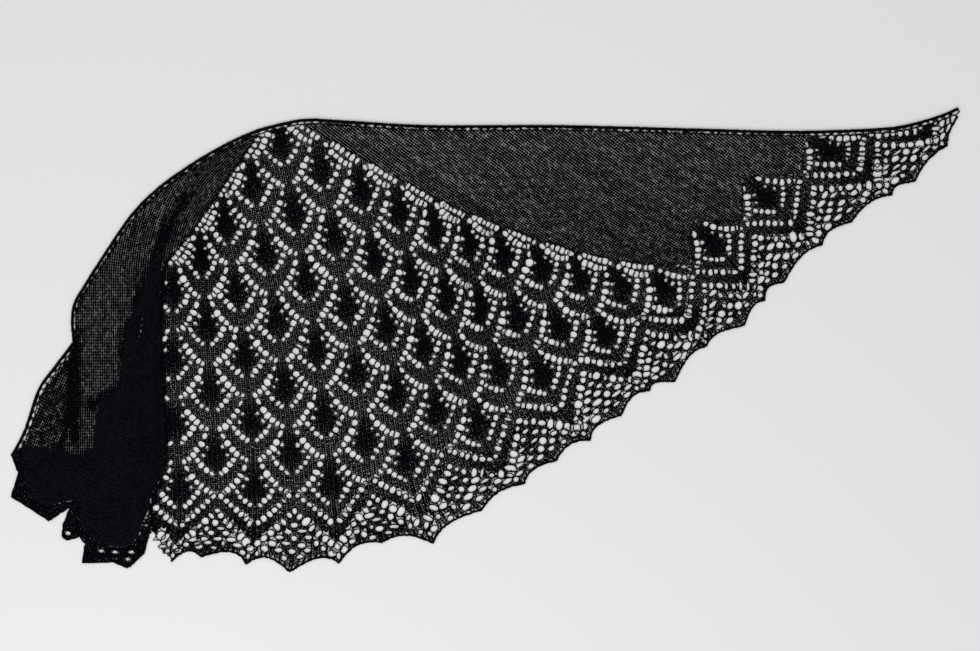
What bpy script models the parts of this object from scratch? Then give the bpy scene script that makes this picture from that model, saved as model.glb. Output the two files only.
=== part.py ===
"""A knitted lace shawl laid flat, its left third drawn together into folds. All sizes are in millimetres."""

import math
from collections import namedtuple

import bmesh
import bpy
import numpy as np
from mathutils import Vector
from mathutils.geometry import delaunay_2d_cdt

MM = 0.001
CLOTH = 1.6
FIRM_EDGE = 2.4
SEAM = 0.3
EDGE_STRIP = 7.5
ROLL = 12.0
HEM_ROWS = 2.4
PANEL_SPREAD = 1.2
LEFT_SIDE_ROWS = 4.2
POINT_SPACING = 13.5
POINT_TO_RIM = 5.0
LEAST_MARGIN = 1.2

# The leaf lattice. A row of the table is every second wale of leaves: where its last leaf
# lies, how far half a repeat grows towards the hem, how far the wale bows sideways, its
# pulled point at the hem, and the rounder point between it and the next one.
Wale = namedtuple("Wale", "wale leaf_x leaf_y grow_x grow_y bow tip_x tip_y round_x round_y")
WALES = tuple(Wale(*row) for row in (
    (-6, -534, -220, 0.0, -46.0, 0, -551, -317, -498, -314),
    (-4, -428, -212, 1.5, -46.0, -4, -440, -311, -398, -304),
    (-2, -324, -209, 5.0, -46.0, 8, -335, -315, -274, -325),
    (0, -216, -204, 7.0, -47.5, 8, -205, -314, -145, -284),
    (2, -110, -171, 8.0, -47.0, 4, -73, -286, -6, -239),
    (4, -9, -122, 10.0, -45.5, -6, 55, -202, 99, -169),
    (6, 81, -51, 13.5, -41.5, -9, 147, -141, 190, -106),
    (8, 169, 5, 17.0, -38.5, -3, 230, -72, 265, -58),
    (10, 253, 65, 24.0, -35.0, 0, 309, -10, 362, 20),
    (12, 321, 132, 31.0, -32.0, 0, 391, 57, 418, 81),
    (14, 394, 198, 32.0, -29.5, 0, 471, 132, 512, 165),
    (16, 484, 262, 33.5, -25.0, 0, 569, 202, 601, 222),
    (18, 570, 316, 33.5, -22.5, 0, 646, 271, 661, 314),
))
LAST_LEAF_ROW = 10
SAG_OF_MID_ROWS = -3.0
STITCHES_A_WALE = 8
ROWS_A_STEP = 16
LAST_WALE = 19
# How far the hem draws back between its points, in rows: deep near the middle, shallow in the wing.
DIP_AT_WALES = (1.0, 4.0)
HEM_DIPS = (0.34, 0.22)

# The neck edge, from the right tip over the top of the panel and down the left side.
NECK = (
    (661, 325), (636, 314), (594, 302), (552, 296), (440, 292), (300, 295), (104, 300), (-78, 300),
    (-204, 307), (-246, 309), (-281, 304), (-330, 290), (-393, 258), (-456, 215), (-498, 173),
    (-540, 111), (-561, 78), (-576, 52), (-580, 27), (-578, -4),
)

# The long fold that lies on the panel, from its top down to the hem.
FOLD = (
    (-447, 150), (-453, 108), (-456, 69), (-457, 13), (-454, -57), (-450, -113),
    (-449, -162), (-455, -194), (-466, -213), (-471, -236), (-467, -268),
)
# The left side of the gathers, from the top of the fold to the foot of the smooth cloth.
GATHER_SIDE = (
    (-447, 150), (-470, 98), (-484, 55), (-503, 14), (-506, -29), (-514, -68), (-540, -88),
    (-547, -120), (-547, -152), (-571, -164), (-596, -152), (-625, -152), (-650, -150),
)
# Where the smooth cloth of the left wing folds over the layer beneath it.
TURN = ((-578, -4), (-582, -40), (-582, -84), (-587, -126), (-596, -152))
UNDER_EDGE = ((-578, -4), (-604, -38), (-626, -69), (-642, -116), (-650, -136), (-663, -160))
# The hem of the gathered end, with its points and one loose loop.
LEFT_HEM = (
    (-663, -160), (-653, -186), (-663, -220), (-638, -235), (-611, -253), (-595, -242),
    (-580, -232), (-590, -259), (-592, -275), (-586, -280), (-568, -275), (-559, -286),
    (-564, -312), (-523, -310), (-501, -319), (-479, -299), (-472, -272), (-467, -268),
)
# The end of the open lace's hem, beside the gathers.
LEFT_END = ((-480, -216), (-467, -268), (-457, -290))
# Where the gathered lace ends and its thin hem begins.
HEAP_FOOT = (
    (-650, -150), (-645, -186), (-640, -216), (-611, -234), (-590, -226), (-566, -226),
    (-568, -256), (-545, -284), (-505, -292), (-487, -278), (-479, -254), (-471, -236),
)

# The mounds under the folded cloth, and the ridges of the folds themselves.
Mound = namedtuple("Mound", "x y across along height")
MOUNDS = tuple(Mound(*row) for row in (
    (-490, -100, 34, 120, 11.0),
    (-500, -210, 50, 60, 6.0),
    (-590, -195, 50, 30, 8.0),
    (-540, 20, 40, 90, 3.0),
))
Ridge = namedtuple("Ridge", "from_x from_y to_x to_y width height")
RIDGES = tuple(Ridge(*row) for row in (
    (-446, 148, -459, 60, 8, 5.0),
    (-461, 50, -463, -190, 9, 5.0),
    (-474, 90, -480, 20, 8, 4.0),
    (-483, 0, -484, -240, 9, 5.5),
    (-503, 10, -505, -90, 8, 5.0),
    (-508, -100, -512, -270, 10, 5.0),
    (-532, -100, -536, -270, 9, 4.0),
    (-558, -172, -562, -210, 8, 3.0),
    (-574, -10, -580, -130, 7, 3.5),
    (-585, -168, -645, -196, 9, 3.5),
    (-578, -200, -640, -222, 8, 3.0),
    (-520, 120, -560, 30, 14, 2.5),
    (-470, 160, -520, 80, 14, 2.0),
))

# The eyelets of one leaf that are large enough to be cut, in stitches and rows from its middle.
LEAF_EYELETS = ((2.8, -7.0), (4.6, -1.9))
# Those of one point of the hem, in wales and half repeats below the last row of leaves.
HEM_EYELETS = (
    (-0.71, 1.53), (-0.41, 1.18), (-0.12, 0.83), (0.0, 1.07), (0.12, 0.83), (0.41, 1.18), (0.71, 1.53),
)
HOOP_EYELETS = ((-581, -270), (-545, -300), (-500, -308))
EYELET_ACROSS = 6.2
EYELET_ALONG = 6.6
HEM_EYELET = 7.4
EYELET_SIDES = 6

# The share of the folds' lift that each folded piece takes.
FOLDED = {"left_gather": 1.0, "left_wing": 0.55, "under_flap": 0.3}

BLACK_WOOL = (0.012, 0.012, 0.015, 1.0)


def wale_column(name):
    return np.array([getattr(row, name) for row in WALES], float)


def smooth_through(at, known, values):
    """Values at any place, on a smooth curve through the known ones."""
    at = np.asarray(at, float)
    k = np.clip(np.searchsorted(known, at) - 1, 0, len(known) - 2)
    share = (at - known[k]) / (known[k + 1] - known[k])
    padded = np.concatenate([[2 * values[0] - values[1]], values, [2 * values[-1] - values[-2]]])
    before, start, end, after = padded[k], padded[k + 1], padded[k + 2], padded[k + 3]
    bend = (2 * before - 5 * start + 4 * end - after) * share**2
    twist = (3 * start - before - 3 * end + after) * share**3
    return 0.5 * (2 * start + (end - before) * share + bend + twist)


def hem_places(axis):
    """Each wale's place on the hem, pulled and rounder points in turn."""
    wales = wale_column("wale")
    tips = wale_column("tip_" + axis)
    rounds = wale_column("round_" + axis)
    return (
        np.stack([wales, wales + 1], axis=1).ravel(),
        np.stack([tips, rounds], axis=1).ravel(),
    )


def place(wale, row):
    """The point of the cloth at a wale and a row of half repeats, both in fractions too."""
    wale, row = np.broadcast_arrays(np.asarray(wale, float), np.asarray(row, float))
    wales = wale_column("wale")
    grown = (row - np.abs(wale)) / np.maximum(LAST_LEAF_ROW - np.abs(wale), 1.0)
    grown = np.clip(grown, 0.0, 1.0)
    arch = 4 * grown * (1 - grown)
    steps = row - LAST_LEAF_ROW
    hem_share = (np.maximum(steps, 0.0) / HEM_ROWS) ** 2
    sideways = {"x": smooth_through(wale, wales, wale_column("bow")), "y": SAG_OF_MID_ROWS}
    found = []
    for axis in ("x", "y"):
        leaf = smooth_through(wale, wales, wale_column("leaf_" + axis))
        grow = smooth_through(wale, wales, wale_column("grow_" + axis))
        hem = smooth_through(wale, *hem_places(axis))
        turn = hem_share * (hem - leaf - HEM_ROWS * grow)
        found.append(leaf + steps * grow + sideways[axis] * arch + turn)
    return np.stack(found, axis=-1)


def hem_row(wale):
    """How far down the cloth reaches: pulled points at even wales, rounder ones between."""
    from_pulled = np.abs(wale - 2 * np.round(wale / 2))
    dip = np.interp(wale, DIP_AT_WALES, HEM_DIPS)
    return LAST_LEAF_ROW + HEM_ROWS - dip * np.abs(np.sin(math.pi * from_pulled**0.8)) ** 0.9


def zigzag(first, last, low_at_even, row):
    """Points along the sides of the leaf squares, one at each whole wale."""
    wales = np.arange(first, last + 0.5)
    even = np.mod(wales, 2) == 0
    return place(wales, np.where(even, row + low_at_even, row))


def offset_line(points, distance):
    """The line moved sideways, to the left of its direction where distance is above 0."""
    points = np.asarray(points, float)
    ahead = np.gradient(points, axis=0)
    ahead /= np.linalg.norm(ahead, axis=1, keepdims=True)
    return points + distance * np.stack([-ahead[:, 1], ahead[:, 0]], axis=1)


def smoothed(points, each):
    """A smooth curve through a few points, with this many steps between two of them."""
    points = np.asarray(points, float)
    known = np.arange(len(points), dtype=float)
    at = np.linspace(0, len(points) - 1, (len(points) - 1) * each + 1)
    return np.stack([smooth_through(at, known, points[:, i]) for i in (0, 1)], axis=1)


def distance_to(points, line):
    """The distance from each point to a line of straight pieces."""
    points = np.asarray(points, float)[:, None, :]
    start, end = np.asarray(line, float)[:-1], np.asarray(line, float)[1:]
    along = end - start
    share = ((points - start) * along).sum(2) / (along**2).sum(1)
    nearest = start + np.clip(share, 0, 1)[..., None] * along
    return np.linalg.norm(points - nearest, axis=2).min(axis=1)


def inside(points, ring):
    """Which points lie inside a ring, by counting the sides that a ray crosses."""
    x, y = np.asarray(points, float).T
    found = np.zeros(len(x), bool)
    ring = np.asarray(ring, float)
    for (ax, ay), (bx, by) in zip(ring, np.roll(ring, -1, axis=0)):
        crosses = (ay > y) != (by > y)
        at = ax + (y - ay) * (bx - ax) / (by - ay if by != ay else 1.0)
        found ^= crosses & (x < at)
    return found


def swell(points):
    """How far the folds lift the cloth above a flat layer."""
    x, y = np.asarray(points, float).T
    lift = np.zeros(len(x))
    for mound in MOUNDS:
        away = ((x - mound.x) / mound.across) ** 2 + ((y - mound.y) / mound.along) ** 2
        lift += mound.height * np.exp(-away)
    for ridge in RIDGES:
        line = ((ridge.from_x, ridge.from_y), (ridge.to_x, ridge.to_y))
        lift += ridge.height * np.exp(-((distance_to(points, line) / ridge.width) ** 2))
    return lift


def eased(share):
    share = np.clip(share, 0, 1)
    return share * share * (3 - 2 * share)


def eyelet_ring(centre, across, along, ahead):
    """The corners of one eyelet, longest in the direction of growth."""
    turn = math.atan2(ahead[1], ahead[0])
    ring = []
    for side in range(EYELET_SIDES):
        angle = 2 * math.pi * side / EYELET_SIDES
        a = along / 2 * math.cos(angle)
        b = across / 2 * math.sin(angle)
        ring.append((
            centre[0] + a * math.cos(turn) - b * math.sin(turn),
            centre[1] + a * math.sin(turn) + b * math.cos(turn),
        ))
    return ring


def eyelets():
    """Every eyelet that is cut: four a leaf, seven a point of the hem, and those of the loose end."""
    rings = []
    spots = []
    for row in range(LAST_LEAF_ROW + 1):
        for wale in range(-row, row + 1, 2):
            spots.append((wale, row))
    spots += [(12, LAST_LEAF_ROW), (14, LAST_LEAF_ROW), (16, LAST_LEAF_ROW)]
    for wale, row in spots:
        for stitches, rows in LEAF_EYELETS:
            for side in (-1, 1):
                at = (wale + side * stitches / STITCHES_A_WALE, row + rows / ROWS_A_STEP)
                ahead = place(at[0], at[1] + 0.1) - place(*at)
                rings.append(eyelet_ring(place(*at), EYELET_ACROSS, EYELET_ALONG, ahead))
    for wale in range(-5, LAST_WALE, 2):
        for across, down in HEM_EYELETS:
            at = (wale + across, LAST_LEAF_ROW + down)
            ahead = place(at[0], at[1] + 0.1) - place(*at)
            rings.append(eyelet_ring(place(*at), HEM_EYELET, HEM_EYELET, ahead))
    for centre in HOOP_EYELETS:
        rings.append(eyelet_ring(centre, EYELET_ACROSS, EYELET_ALONG, (1.0, 0.0)))
    return rings


def without_repeats(points):
    """The ring's points, each kept only where it differs from the one before."""
    points = np.asarray(points, float)
    step = np.linalg.norm(points - np.roll(points, 1, axis=0), axis=1)
    return points[step > 0.5]


def under_neck(points, neck):
    """Those points that lie below the middle of the neck edge's strip."""
    middle = offset_line(neck, EDGE_STRIP / 2)
    tip, end = middle[0], middle[-1]
    foot = points[:, 1].min() - EDGE_STRIP
    area = np.concatenate([middle, [(end[0], foot), (tip[0], foot)]])
    return points[inside(points, area)]


def outlines():
    """The ring of each piece, the upper ones first: a lower one ends where an upper one lies."""
    neck = smoothed(NECK, 3)
    neck_inner = offset_line(neck, EDGE_STRIP)
    fold = smoothed(FOLD, 2)
    side = np.asarray(GATHER_SIDE, float)
    foot = np.asarray(HEAP_FOOT, float)
    rows = np.arange(-1.5, LAST_LEAF_ROW - 0.1, 0.1)
    right_side = under_neck(place(rows + PANEL_SPREAD, rows), neck)[::4]
    left_side = under_neck(place(-rows - PANEL_SPREAD, rows)[rows < LEFT_SIDE_ROWS], neck)[::4]
    panel_foot = zigzag(-5, 11, 1.0, LAST_LEAF_ROW + 0.05)
    wales = np.arange(-4.0, LAST_WALE + 0.01, 0.2)
    hem = place(wales, hem_row(wales))
    centre_hem = hem[wales < 10.1]
    wing_hem = hem[wales > 9.9]
    steps = zigzag(11, 16, -1.0, LAST_LEAF_ROW - 0.05)
    apex = right_side[0, 0]
    over_wing = neck_inner[(neck_inner[:, 0] < steps[-1, 0]) & (neck_inner[:, 0] > apex)]
    over_tip = neck_inner[neck_inner[:, 0] > steps[-1, 0]][::-1]
    over_left = neck_inner[neck_inner[:, 0] < left_side[0, 0]]
    over_panel = neck_inner[(neck_inner[:, 0] < apex) & (neck_inner[:, 0] > left_side[0, 0])]
    beside_fold = fold[::-1][(fold[::-1, 1] > panel_foot[0, 1]) & (fold[::-1, 1] < left_side[-1, 1])]
    rings = {
        "neck_border": [neck, neck_inner[::-1]],
        "left_gather": [fold[:-2], foot[::-1][1:], side[::-1][1:-1]],
        "left_edging": [LEFT_HEM, fold[-2:][::-1][1:], foot[::-1]],
        "left_wing": [over_left, TURN, side[::-1][3:], left_side[::-1]],
        "under_flap": [UNDER_EDGE, side[::-1][:3], TURN[::-1][1:-1]],
        "centre_panel": [right_side, panel_foot[::-1], beside_fold, left_side[::-1], over_panel[::-1]],
        "centre_edging": [LEFT_END, centre_hem, panel_foot[:-1][::-1]],
        "wing_edging": [wing_hem[::-1], panel_foot[-2:], steps, over_tip],
        "right_wing": [over_wing, right_side, steps],
    }
    return {name: without_repeats(np.concatenate(parts)) for name, parts in rings.items()}


def flat_triangles(rings, holes, loose):
    """One triangulation of the whole cloth in plan, with every outline and eyelet among its edges."""
    points = []
    edges = []
    for ring in rings + holes:
        first = len(points)
        points += [Vector(p) for p in ring]
        edges += [(first + i, first + (i + 1) % len(ring)) for i in range(len(ring))]
    points += [Vector(p) for p in loose]
    found = delaunay_2d_cdt(points, edges, [], 0, 0.02, False)
    return np.array([tuple(p) for p in found[0]]), np.array(found[2])


def rim_loops(triangles):
    """The edges that only one triangle has, in their direction."""
    ends = np.concatenate([triangles[:, [0, 1]], triangles[:, [1, 2]], triangles[:, [2, 0]]])
    known = {tuple(edge) for edge in ends}
    return [tuple(edge) for edge in ends if (edge[1], edge[0]) not in known]


def drawn_in(points, triangles, distance):
    """The points, with those of the rim moved inwards by this distance."""
    moved = points.copy()
    sideways = np.zeros_like(points)
    count = np.zeros(len(points))
    for start, end in rim_loops(triangles):
        along = points[end] - points[start]
        normal = np.array((-along[1], along[0])) / np.linalg.norm(along)
        for at in (start, end):
            sideways[at] += normal
            count[at] += 1
    rim = count > 0
    mean = sideways[rim] / count[rim][:, None]
    length = np.maximum(np.linalg.norm(mean, axis=1), 0.5)
    moved[rim] += distance * mean / length[:, None] ** 2
    return moved


def solid(name, points, triangles, top, colour):
    """A closed body: the triangles at their top heights, a flat underside, and walls between."""
    mesh = bpy.data.meshes.new(name)
    body = bmesh.new()
    upper = [body.verts.new((x * MM, y * MM, z * MM)) for (x, y), z in zip(points, top)]
    lower = [body.verts.new((x * MM, y * MM, 0.0)) for x, y in points]
    for a, b, c in triangles:
        body.faces.new((upper[a], upper[b], upper[c]))
        body.faces.new((lower[c], lower[b], lower[a]))
    for start, end in rim_loops(triangles):
        body.faces.new((upper[end], upper[start], lower[start], lower[end]))
    bmesh.ops.triangulate(body, faces=body.faces[:])
    body.to_mesh(mesh)
    body.free()
    item = bpy.data.objects.new(name, mesh)
    bpy.context.collection.objects.link(item)
    material = bpy.data.materials.new(name)
    material.use_nodes = True
    shader = material.node_tree.nodes["Principled BSDF"]
    shader.inputs["Base Color"].default_value = colour
    shader.inputs["Roughness"].default_value = 0.9
    shader.inputs["Metallic"].default_value = 0.0
    mesh.materials.append(material)
    return item


def loose_points(rings):
    """Points inside the folded pieces, in staggered rows, for the shape of their folds."""
    rims = np.concatenate([np.concatenate([ring, ring[:1]]) for ring in rings])
    low, high = rims.min(axis=0), rims.max(axis=0)
    across = POINT_SPACING * 0.8
    grid = np.stack(np.meshgrid(
        np.arange(low[0], high[0], across), np.arange(low[1], high[1], POINT_SPACING)), axis=-1)
    grid[1::2, :, 0] += across / 2
    grid = grid.reshape(-1, 2)
    apart = distance_to(grid, rims) > POINT_TO_RIM
    wanted = np.zeros(len(grid), bool)
    for ring in rings:
        wanted |= inside(grid, ring)
    return grid[wanted & apart]


def cut_eyelets(rings):
    """Those eyelets that lie whole in a flat piece, clear of every outline."""
    holes = []
    for ring in eyelets():
        owner = None
        clear = True
        for name, outline in rings.items():
            closed = np.concatenate([outline, outline[:1]])
            clear = clear and distance_to(ring, closed).min() > LEAST_MARGIN
            if owner is None and inside(ring, outline).any():
                owner = name
        if clear and owner is not None and owner not in FOLDED:
            holes.append(ring)
    return holes


def build():
    for item in list(bpy.data.objects):
        bpy.data.objects.remove(item)
    rings = outlines()
    holes = cut_eyelets(rings)
    loose = loose_points([rings[name] for name in FOLDED])
    points, triangles = flat_triangles(list(rings.values()), holes, loose)
    middles = points[triangles].mean(axis=1)
    taken = np.zeros(len(triangles), bool)
    for ring in holes:
        taken |= inside(middles, ring)
    open_edges = [smoothed(FOLD, 2), np.asarray(LEFT_HEM), np.asarray(UNDER_EDGE), smoothed(NECK, 3)]
    for name, ring in rings.items():
        mine = inside(middles, ring) & ~taken
        taken |= mine
        used, local = np.unique(triangles[mine], return_inverse=True)
        local = local.reshape(-1, 3)
        plan = drawn_in(points[used], local, SEAM / 2)
        top = np.full(len(plan), FIRM_EDGE if name == "neck_border" else CLOTH)
        if name in FOLDED:
            edges = open_edges + ([np.asarray(TURN)] if name == "left_wing" else [])
            near = np.min([distance_to(plan, line) for line in edges], axis=0)
            top = top + FOLDED[name] * swell(plan) * eased(near / ROLL)
        solid(name, plan, local, top, BLACK_WOOL)


build()
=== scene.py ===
"""A black knitted lace shawl laid flat, its left end drawn together into folds, seen from above."""
import math
from collections import namedtuple

import bpy
import numpy as np
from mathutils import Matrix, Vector
from mathutils.geometry import delaunay_2d_cdt


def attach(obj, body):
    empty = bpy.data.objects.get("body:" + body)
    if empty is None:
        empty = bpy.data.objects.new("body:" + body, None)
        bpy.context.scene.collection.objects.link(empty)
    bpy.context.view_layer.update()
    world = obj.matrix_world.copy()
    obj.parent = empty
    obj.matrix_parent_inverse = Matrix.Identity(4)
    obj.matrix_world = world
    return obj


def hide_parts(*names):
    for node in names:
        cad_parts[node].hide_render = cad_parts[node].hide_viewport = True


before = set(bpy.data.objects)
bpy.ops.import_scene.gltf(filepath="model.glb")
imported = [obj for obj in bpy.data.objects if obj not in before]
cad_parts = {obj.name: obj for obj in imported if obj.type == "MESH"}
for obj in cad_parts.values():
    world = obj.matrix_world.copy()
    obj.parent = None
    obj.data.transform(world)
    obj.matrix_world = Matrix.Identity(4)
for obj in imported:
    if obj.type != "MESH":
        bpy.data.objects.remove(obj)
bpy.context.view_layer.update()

# The surface under the shawl, the light and the view. It lies on a plain pale surface under soft
# studio light, and the camera looks straight down at it, framed as in the photograph.
MM = 0.001
PHOTO_PIXEL = 1.4 * MM
PHOTO_WIDTH = 980
VIEW_MIDDLE = (6.3 * MM, 19.6 * MM)
LENS = 85.0
SENSOR = 36.0
SURFACE_SIZE = 6.0
SURFACE_DEPTH = 0.6 * MM
SURFACE_GREY = (0.80, 0.80, 0.80, 1.0)
SURFACE_ROUGHNESS = 0.95
SURFACE_GLOSS = 0.1
SKY_LIGHT = 0.8
LAMP_POWER = 16.0
LAMP_SIZE = 1.6
LAMP_PLACE = (-0.7, -1.6, 1.5)


class Shader:
    """A material's node tree. node() adds any node, and its values take part in sums and products."""

    def __init__(self, name):
        self.material = bpy.data.materials.new(name)
        self.material.use_nodes = True
        self.tree = self.material.node_tree
        self.principled = self.tree.nodes["Principled BSDF"]

    def node(self, kind, settings=None, values=None, output=0):
        made = self.tree.nodes.new(kind)
        for key, value in (settings or {}).items():
            setattr(made, key, value)
        for key, value in (values or {}).items():
            if isinstance(value, Value):
                self.tree.links.new(value.socket, made.inputs[key])
            else:
                made.inputs[key].default_value = value
        return Value(self, made.outputs[output])

    def feed(self, key, value):
        self.tree.links.new(value.socket, self.principled.inputs[key])


class Value:
    """One number of a material that varies over the surface."""

    def __init__(self, shader, socket):
        self.shader = shader
        self.socket = socket

    def maths(self, operation, first, second):
        return self.shader.node("ShaderNodeMath", {"operation": operation}, {0: first, 1: second})

    def __add__(self, other):
        return self.maths("ADD", self, other)

    def __mul__(self, other):
        return self.maths("MULTIPLY", self, other)

    def __sub__(self, other):
        return self.maths("SUBTRACT", self, other)

    def __rsub__(self, other):
        return self.maths("SUBTRACT", other, self)

    __radd__ = __add__
    __rmul__ = __mul__


surface_mesh = bpy.data.meshes.new("surface")
half = SURFACE_SIZE / 2
surface_mesh.from_pydata(
    [(-half, -half, -SURFACE_DEPTH), (half, -half, -SURFACE_DEPTH),
     (half, half, -SURFACE_DEPTH), (-half, half, -SURFACE_DEPTH)], [], [(0, 1, 2, 3)])
surface = bpy.data.objects.new("surface", surface_mesh)
bpy.context.collection.objects.link(surface)
board = Shader("pale_board")
board.principled.inputs["Base Color"].default_value = SURFACE_GREY
board.principled.inputs["Roughness"].default_value = SURFACE_ROUGHNESS
board.principled.inputs["Specular IOR Level"].default_value = SURFACE_GLOSS
surface_mesh.materials.append(board.material)

world = bpy.data.worlds.new("studio")
world.use_nodes = True
world.node_tree.nodes["Background"].inputs["Color"].default_value = (1.0, 1.0, 1.0, 1.0)
world.node_tree.nodes["Background"].inputs["Strength"].default_value = SKY_LIGHT
bpy.context.scene.world = world
bpy.context.scene.view_settings.view_transform = "Standard"

lamp = bpy.data.lights.new("soft_lamp", "AREA")
lamp.energy = LAMP_POWER
lamp.size = LAMP_SIZE
lamp_object = bpy.data.objects.new("soft_lamp", lamp)
lamp_object.location = LAMP_PLACE
lamp_object.rotation_euler = (-Vector(LAMP_PLACE)).to_track_quat("-Z", "Y").to_euler()
bpy.context.collection.objects.link(lamp_object)

camera = bpy.data.cameras.new("camera")
camera.lens = LENS
camera.sensor_width = SENSOR
camera.dof.use_dof = False
camera_object = bpy.data.objects.new("camera", camera)
camera_height = PHOTO_PIXEL * PHOTO_WIDTH * LENS / SENSOR
camera_object.location = (VIEW_MIDDLE[0], VIEW_MIDDLE[1], camera_height)
bpy.context.collection.objects.link(camera_object)
bpy.context.scene.camera = camera_object

# The leaf lattice of the centre panel. The lace is knitted in fine wool from the middle of the neck
# edge down to the hem, so its rows lie on a lattice of wales (columns of leaves) and of rows of
# leaves. Blocking pins pulled the hem out to a point at every second wale.

# A row of the table is every second wale: its last leaf, how far half a repeat grows towards the
# hem, how far the wale bows sideways, its pulled point at the hem and the rounder one beside it.
Wale = namedtuple("Wale", "wale leaf_x leaf_y grow_x grow_y bow tip_x tip_y round_x round_y")
WALES = tuple(Wale(*row) for row in (
    (-6, -534, -220, 0.0, -46.0, 0, -551, -317, -498, -314),
    (-4, -428, -212, 1.5, -46.0, -4, -440, -311, -398, -304),
    (-2, -324, -209, 5.0, -46.0, 8, -335, -315, -274, -325),
    (0, -216, -204, 7.0, -47.5, 8, -205, -314, -145, -284),
    (2, -110, -171, 8.0, -47.0, 4, -73, -286, -6, -239),
    (4, -9, -122, 10.0, -45.5, -6, 55, -202, 99, -169),
    (6, 81, -51, 13.5, -41.5, -9, 147, -141, 190, -106),
    (8, 169, 5, 17.0, -38.5, -3, 230, -72, 265, -58),
    (10, 253, 65, 24.0, -35.0, 0, 309, -10, 362, 20),
    (12, 321, 132, 31.0, -32.0, 0, 391, 57, 418, 81),
    (14, 394, 198, 32.0, -29.5, 0, 471, 132, 512, 165),
    (16, 484, 262, 33.5, -25.0, 0, 569, 202, 601, 222),
    (18, 570, 316, 33.5, -22.5, 0, 646, 271, 661, 314),
))
LAST_LEAF_ROW = 10
HEM_ROWS = 2.4
LAST_WALE = 19
SAG_OF_MID_ROWS = -3.0
STITCHES_A_WALE = 8
ROWS_A_STEP = 16
PANEL_SPREAD = 1.2
LEFT_SIDE_ROWS = 4.2
EDGE_STRIP = 7.5
DIP_AT_WALES = (1.0, 4.0)
HEM_DIPS = (0.34, 0.22)
DIP_LEAN = 0.8
DIP_ROUNDNESS = 0.9

# The outlines of the shawl as it lies, in millimetres: its neck edge from the right tip round to
# the left end, the long fold over the panel, the sides and foot of the gathers, and the left hem.
NECK = (
    (661, 325), (636, 314), (594, 302), (552, 296), (440, 292), (300, 295), (104, 300), (-78, 300),
    (-204, 307), (-246, 309), (-281, 304), (-330, 290), (-393, 258), (-456, 215), (-498, 173),
    (-540, 111), (-561, 78), (-576, 52), (-580, 27), (-578, -4),
)
FOLD = (
    (-447, 150), (-453, 108), (-456, 69), (-457, 13), (-454, -57), (-450, -113),
    (-449, -162), (-455, -194), (-466, -213), (-471, -236), (-467, -268),
)
GATHER_SIDE = (
    (-447, 150), (-470, 98), (-484, 55), (-503, 14), (-506, -29), (-514, -68), (-540, -88),
    (-547, -120), (-547, -152), (-571, -164), (-596, -152), (-625, -152), (-650, -150),
)
TURN = ((-578, -4), (-582, -40), (-582, -84), (-587, -126), (-596, -152))
UNDER_EDGE = ((-578, -4), (-604, -38), (-626, -69), (-642, -116), (-650, -136), (-663, -160))
LEFT_HEM = (
    (-663, -160), (-653, -186), (-663, -220), (-638, -235), (-611, -253), (-595, -242),
    (-580, -232), (-590, -259), (-592, -275), (-586, -280), (-568, -275), (-559, -286),
    (-564, -312), (-523, -310), (-501, -319), (-479, -299), (-472, -272), (-467, -268),
)
LEFT_END = ((-480, -216), (-467, -268), (-457, -290))
HEAP_FOOT = (
    (-650, -150), (-645, -186), (-640, -216), (-611, -234), (-590, -226), (-566, -226),
    (-568, -256), (-545, -284), (-505, -292), (-487, -278), (-479, -254), (-471, -236),
)


def wale_column(name):
    return np.array([getattr(row, name) for row in WALES], float)


def smooth_through(at, known, values):
    """Values at any place, on a smooth curve through the known ones."""
    at = np.asarray(at, float)
    k = np.clip(np.searchsorted(known, at) - 1, 0, len(known) - 2)
    share = (at - known[k]) / (known[k + 1] - known[k])
    padded = np.concatenate([[2 * values[0] - values[1]], values, [2 * values[-1] - values[-2]]])
    before, start, end, after = padded[k], padded[k + 1], padded[k + 2], padded[k + 3]
    bend = (2 * before - 5 * start + 4 * end - after) * share**2
    twist = (3 * start - before - 3 * end + after) * share**3
    return 0.5 * (2 * start + (end - before) * share + bend + twist)


def hem_places(axis):
    """The wales of the hem's pulled and rounder points, and where each lies."""
    wales = wale_column("wale")
    tips = wale_column("tip_" + axis)
    rounds = wale_column("round_" + axis)
    return (
        np.stack([wales, wales + 1], axis=1).ravel(),
        np.stack([tips, rounds], axis=1).ravel(),
    )


def place(wale, row):
    """The point of the cloth at a wale and a row of half repeats, in millimetres."""
    wale, row = np.broadcast_arrays(np.asarray(wale, float), np.asarray(row, float))
    wales = wale_column("wale")
    grown = (row - np.abs(wale)) / np.maximum(LAST_LEAF_ROW - np.abs(wale), 1.0)
    grown = np.clip(grown, 0.0, 1.0)
    arch = 4 * grown * (1 - grown)
    steps = row - LAST_LEAF_ROW
    hem_share = (np.maximum(steps, 0.0) / HEM_ROWS) ** 2
    sideways = {"x": smooth_through(wale, wales, wale_column("bow")), "y": SAG_OF_MID_ROWS}
    found = []
    for axis in ("x", "y"):
        leaf = smooth_through(wale, wales, wale_column("leaf_" + axis))
        grow = smooth_through(wale, wales, wale_column("grow_" + axis))
        hem = smooth_through(wale, *hem_places(axis))
        turn = hem_share * (hem - leaf - HEM_ROWS * grow)
        found.append(leaf + steps * grow + sideways[axis] * arch + turn)
    return np.stack(found, axis=-1)


def hem_row(wale):
    """How far down the cloth reaches: pulled points at even wales, rounder ones between."""
    from_pulled = np.abs(wale - 2 * np.round(wale / 2))
    dip = np.interp(wale, DIP_AT_WALES, HEM_DIPS)
    dipped = np.abs(np.sin(math.pi * from_pulled**DIP_LEAN)) ** DIP_ROUNDNESS
    return LAST_LEAF_ROW + HEM_ROWS - dip * dipped


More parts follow.
